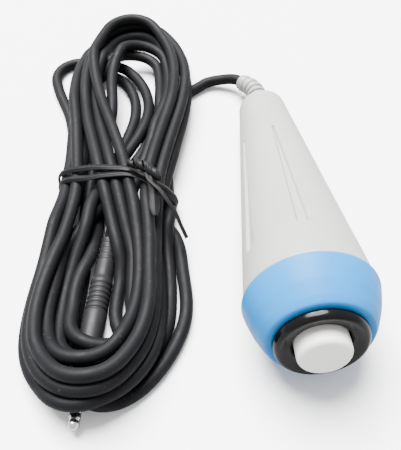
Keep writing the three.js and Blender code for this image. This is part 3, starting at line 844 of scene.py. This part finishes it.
def twisted_pair():
    """The two ends of the tie wound round each other in a knot that is thickest at its middle."""
    middle_line = catmull([
        (-53.6, 11.2, 20.4), (-52.3, 10.6, 21.2), (-49.5, 8.8, 22), (-46.7, 6.8, 22), (-44.4, 4.2, 21.5),
        (-42.8, 2.6, 20.6),
    ], 12)
    last = len(middle_line) - 1
    made = []
    for phase, name in ((0.0, "tie_twist_a"), (math.pi, "tie_twist_b")):
        line = []
        out = []
        for i, at in enumerate(middle_line):
            a = phase + 4.2 * math.pi * i / last
            swell = 0.4 + 1.15 * math.sin(math.pi * i / last) ** 0.6
            spoke = np.array([0.5 * math.cos(a), 0.86 * math.cos(a), math.sin(a)])
            line.append(at + spoke * swell)
            out.append(spoke)
        made.append(strip(name, line, out, width=2.6))
    return made


def add_tail():
    """The tie's loose end, hanging over the hank's side."""
    line = catmull([
        (-47.2, 4.2, 21.4), (-46.2, 1.5, 21.0), (-43.0, -2.1, 20), (-40.8, -5.5, 18.5), (-38.3, -8.9, 16),
        (-36.6, -12.3, 13), (-34.8, -15.8, 10),
    ], 10)
    return strip("tie_tail", line, [(0.55, 0.1, 0.8)] * len(line), width=2.0)


def add_fold():
    """The tie's other end, lying flat on the hank with a rounded tip."""
    line = catmull([
        (-46.0, 4.0, 21.2), (-45.4, 1.0, 20.2), (-45.2, -3.0, 18.6), (-45.2, -7.3, 17.9),
        (-45.1, -11.6, 17.6),
    ], 12)
    count = len(line)
    taper = [min(1.0, 0.25 + 1.6 * math.sqrt((count - 1 - i) / count)) for i in range(count)]
    return strip("tie_fold", line, [(0.1, 0.2, 0.95)] * count, width=3.5, scale=taper)


def add_tie():
    made = [band("tie_band_a", BAND_A, 0.95), band("tie_band_b", BAND_B, 0.4)]
    made += twisted_pair()
    made += [add_tail(), add_fold()]
    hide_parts("twist_tie")
    return made


tie_pieces = add_tie()


# ---- materials; colours are linear red, green and blue ----
def noise_node(nodes, links, coord, scale, detail=3.0, rough=0.55):
    node = nodes.new("ShaderNodeTexNoise")
    node.inputs["Scale"].default_value = scale
    node.inputs["Detail"].default_value = detail
    node.inputs["Roughness"].default_value = rough
    links.new(coord, node.inputs["Vector"])
    return node.outputs["Fac"]


def ranged(nodes, links, value, low, high, from_low=0.3, from_high=0.7):
    node = nodes.new("ShaderNodeMapRange")
    node.inputs["From Min"].default_value = from_low
    node.inputs["From Max"].default_value = from_high
    node.inputs["To Min"].default_value = low
    node.inputs["To Max"].default_value = high
    links.new(value, node.inputs["Value"])
    return node.outputs["Result"]


def blended(nodes, links, factor, a, b):
    node = nodes.new("ShaderNodeMix")
    node.data_type = "RGBA"
    links.new(factor, node.inputs[0])
    for socket, value in ((6, a), (7, b)):
        if isinstance(value, tuple):
            node.inputs[socket].default_value = (*value, 1)
        else:
            links.new(value, node.inputs[socket])
    return node.outputs[2]


def surface(name, base, other, rough, grain=2200.0, grain_height=0.00002, patch=55.0, metallic=0.0,
            specks=None, speck_scale=900.0, specular=0.5):
    """A moulded surface. Its colour drifts between base and other over patch-sized areas, its
    roughness varies between two values, and a fine grain gives it bump. specks adds small dust marks
    of that colour."""
    material = bpy.data.materials.new(name)
    material.use_nodes = True
    nodes = material.node_tree.nodes
    links = material.node_tree.links
    shader = nodes["Principled BSDF"]
    shader.inputs["Metallic"].default_value = metallic
    shader.inputs["Specular IOR Level"].default_value = specular
    coord = nodes.new("ShaderNodeTexCoord").outputs["Object"]
    drift = ranged(nodes, links, noise_node(nodes, links, coord, patch), 0, 1)
    colour = blended(nodes, links, drift, base, other)
    if specks:
        dust = noise_node(nodes, links, coord, speck_scale, 2.0, 0.5)
        dots = ranged(nodes, links, dust, 0, 1, 0.68, 0.76)
        colour = blended(nodes, links, dots, colour, specks)
    links.new(colour, shader.inputs["Base Color"])
    wander = noise_node(nodes, links, coord, patch * 5.5, 4.0, 0.6)
    links.new(ranged(nodes, links, wander, rough[0], rough[1]), shader.inputs["Roughness"])
    fine = noise_node(nodes, links, coord, grain, 2.0, 0.6)
    bump = nodes.new("ShaderNodeBump")
    bump.inputs["Strength"].default_value = 0.6
    bump.inputs["Distance"].default_value = grain_height
    links.new(fine, bump.inputs["Height"])
    links.new(bump.outputs["Normal"], shader.inputs["Normal"])
    return material


MATERIALS = {
    "grey_plastic": surface("grey_plastic", (0.285, 0.285, 0.275), (0.27, 0.27, 0.26), (0.38, 0.52),
                            specks=(0.235, 0.23, 0.22), specular=0.25),
    "blue_elastomer": surface("blue_elastomer", (0.002, 0.15, 0.4), (0.0015, 0.14, 0.38), (0.3, 0.42),
                              grain=1500, specular=0.09),
    "black_gloss": surface("black_gloss", (0.0015, 0.0015, 0.0017), (0.003, 0.003, 0.0032), (0.12, 0.22),
                           grain=900, grain_height=0.000008, specular=0.12),
    "white_button": surface("white_button", (0.74, 0.73, 0.70), (0.70, 0.69, 0.66), (0.28, 0.4),
                            specular=0.3),
    "cable_jacket": surface("cable_jacket", (0.0038, 0.0039, 0.0045), (0.0055, 0.0056, 0.0063), (0.46, 0.6),
                            grain=1800, grain_height=0.00003, specks=(0.02, 0.02, 0.02), speck_scale=1100,
                            specular=0.07),
    "plug_plastic": surface("plug_plastic", (0.008, 0.008, 0.0085), (0.011, 0.011, 0.012), (0.4, 0.55),
                            specks=(0.02, 0.02, 0.02), specular=0.15),
    "plug_nickel": surface("plug_nickel", (0.72, 0.71, 0.69), (0.6, 0.59, 0.57), (0.12, 0.28), metallic=1.0,
                           grain=3000, grain_height=0.000006, patch=300),
    "grey_relief": surface("grey_relief", (0.22, 0.22, 0.21), (0.19, 0.19, 0.18), (0.42, 0.56)),
    "tie_plastic": surface("tie_plastic", (0.004, 0.004, 0.0044), (0.007, 0.007, 0.0075), (0.38, 0.5),
                           grain=1200, grain_height=0.00004, patch=160, specular=0.1),
    "black_rubber": surface("black_rubber", (0.015, 0.015, 0.015), (0.022, 0.022, 0.022), (0.6, 0.75)),
    "steel": surface("steel", (0.55, 0.56, 0.57), (0.45, 0.46, 0.47), (0.2, 0.38), metallic=1.0, patch=200),
    "spring_steel": surface("spring_steel", (0.5, 0.5, 0.5), (0.4, 0.4, 0.41), (0.2, 0.35), metallic=1.0,
                            patch=200),
    "brass": surface("brass", (0.66, 0.5, 0.22), (0.55, 0.4, 0.17), (0.2, 0.4), metallic=1.0, patch=200),
    "wire_red": surface("wire_red", (0.45, 0.03, 0.025), (0.4, 0.025, 0.02), (0.4, 0.5), patch=200),
    "wire_black": surface("wire_black", (0.02, 0.02, 0.02), (0.03, 0.03, 0.03), (0.4, 0.5), patch=200),
}


def dress(piece, slot):
    piece.data.materials.clear()
    piece.data.materials.append(MATERIALS[slot])


for slot, pieces in (
    ("grey_plastic", [shell]),
    ("blue_elastomer", [collar]),
    ("black_gloss", [bezel]),
    ("white_button", [button]),
    ("cable_jacket", [cable]),
    ("grey_relief", [relief]),
    ("plug_plastic", plug_pieces[:1]),
    ("plug_nickel", [plug_pieces[1], plug_pieces[3]]),
    ("black_rubber", [plug_pieces[2]]),
    ("tie_plastic", tie_pieces),
):
    for piece in pieces:
        dress(piece, slot)

CARRIED_OVER = {
    "steel": ["lock_washer", "switch_nut", "stem_clip", "cable_ferrule"],
    "spring_steel": ["return_spring"],
    "brass": ["contact_bridge", "terminal_a", "terminal_b"],
    "black_rubber": ["bezel_gasket", "switch_base", "heat_shrink_a", "heat_shrink_b"],
    "white_button": ["plunger_stem"],
    "wire_red": ["wire_a"],
    "wire_black": ["wire_b"],
    "grey_relief": ["relief_flange"],
    "cable_jacket": ["inner_cable"],
}
for slot, names in CARRIED_OVER.items():
    for name in names:
        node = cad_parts[name]
        for place in node.material_slots:
            place.material = MATERIALS[slot]


# ---- floor and lights, in metres ----
FLOOR_HALF = 6.0


def add_floor():
    """A plain pale floor. It is darker to bounced light than to the camera, so that black pieces
    standing on it stay black."""
    mesh = bpy.data.meshes.new("floor")
    half = FLOOR_HALF
    corners = [(-half, -half, 0), (half, -half, 0), (half, half, 0), (-half, half, 0)]
    mesh.from_pydata(corners, [], [(0, 1, 2, 3)])
    piece = bpy.data.objects.new("floor", mesh)
    bpy.context.scene.collection.objects.link(piece)
    material = bpy.data.materials.new("floor")
    material.use_nodes = True
    nodes = material.node_tree.nodes
    links = material.node_tree.links
    shader = nodes["Principled BSDF"]
    seen = nodes.new("ShaderNodeLightPath").outputs["Is Camera Ray"]
    tone = blended(nodes, links, seen, (0.34, 0.34, 0.345), (0.86, 0.86, 0.865))
    links.new(tone, shader.inputs["Base Color"])
    shader.inputs["Roughness"].default_value = 0.6
    shader.inputs["Specular IOR Level"].default_value = 0.1
    mesh.materials.append(material)


def add_area(name, at, aim, size, power):
    """A window-shaped light at a point, facing another."""
    data = bpy.data.lights.new(name, "AREA")
    data.shape = "RECTANGLE"
    data.size = size[0]
    data.size_y = size[1]
    data.energy = power
    light = bpy.data.objects.new(name, data)
    way = Vector(aim) - Vector(at)
    light.matrix_world = Matrix.Translation(at) @ way.to_track_quat("-Z", "Y").to_matrix().to_4x4()
    bpy.context.scene.collection.objects.link(light)


def add_world(strength):
    world = bpy.data.worlds.new("studio")
    world.use_nodes = True
    back = world.node_tree.nodes["Background"]
    back.inputs["Color"].default_value = (1, 1, 1, 1)
    back.inputs["Strength"].default_value = strength
    bpy.context.scene.world = world


def add_sun(name, way, power, angle):
    """A soft distant light shining along way, as wide in the sky as angle in degrees."""
    data = bpy.data.lights.new(name, "SUN")
    data.energy = power
    data.angle = math.radians(angle)
    light = bpy.data.objects.new(name, data)
    light.matrix_world = Vector(way).to_track_quat("-Z", "Y").to_matrix().to_4x4()
    bpy.context.scene.collection.objects.link(light)


add_floor()
add_world(1.3)
add_sun("key", (0.18, -0.42, -1), 24, 45)
add_area("window_left", (-0.24, 0.42, 0.72), (0.0, -0.06, 0.02), (0.1, 0.16), 3.0)
add_area("window_right", (0.0, 0.46, 0.72), (0.0, -0.06, 0.02), (0.1, 0.16), 3.0)
